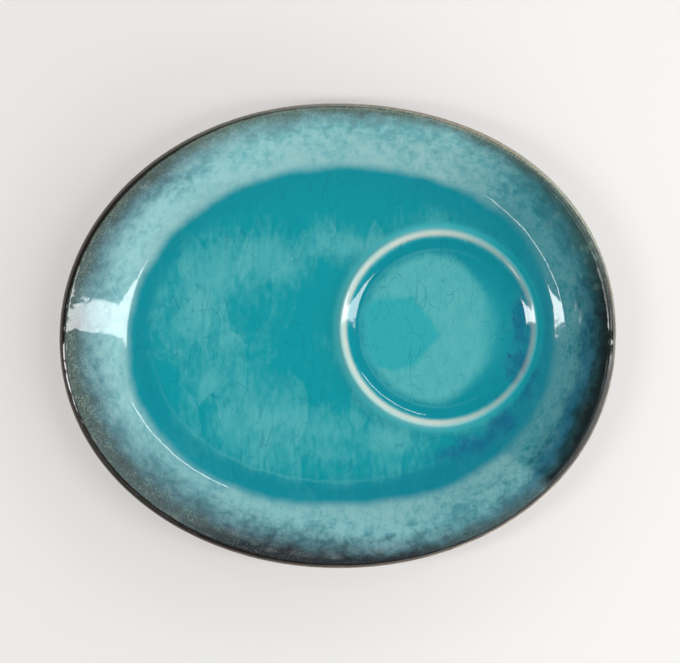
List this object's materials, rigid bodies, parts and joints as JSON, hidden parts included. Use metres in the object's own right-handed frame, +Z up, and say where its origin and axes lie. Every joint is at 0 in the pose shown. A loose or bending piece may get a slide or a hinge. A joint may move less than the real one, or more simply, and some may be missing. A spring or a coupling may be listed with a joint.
{
  "type": "serving dish",
  "caption": "Oval glazed stoneware serving dish with a wide sloping rim and a raised round ring off centre in the well, which keeps a cup in its place.",
  "frame": {"origin": "middle of the dish's outline on the plane it stands on", "axes": "+Z up out of the well, +X along the dish's length towards the cup ring"},
  "size_m": [0.28, 0.2338, 0.0249],
  "materials": {
    "bare_clay": "matt, fired buff stoneware with iron specks",
    "well_glaze": "gloss, deep turquoise, crackled",
    "ring_glaze": "gloss, milky cream on the crest, turquoise in the channel",
    "rim_glaze": "gloss, mottled pale blue-green to near black",
    "lip_glaze": "gloss, thin, brown where the clay shows through",
    "underside_glaze": "satin, dark slate with teal runs"
  },
  "bodies": {
    "root": {"stoneware_body": "bare_clay", "foot_ring": "bare_clay", "cup_ring": "bare_clay", "well_glaze": "well_glaze", "cup_well_glaze": "well_glaze", "cup_ring_glaze": "ring_glaze", "rim_glaze": "rim_glaze", "lip_glaze": "lip_glaze", "underside_glaze": "underside_glaze", "recess_glaze": "underside_glaze"}
  },
  "joints": []
}
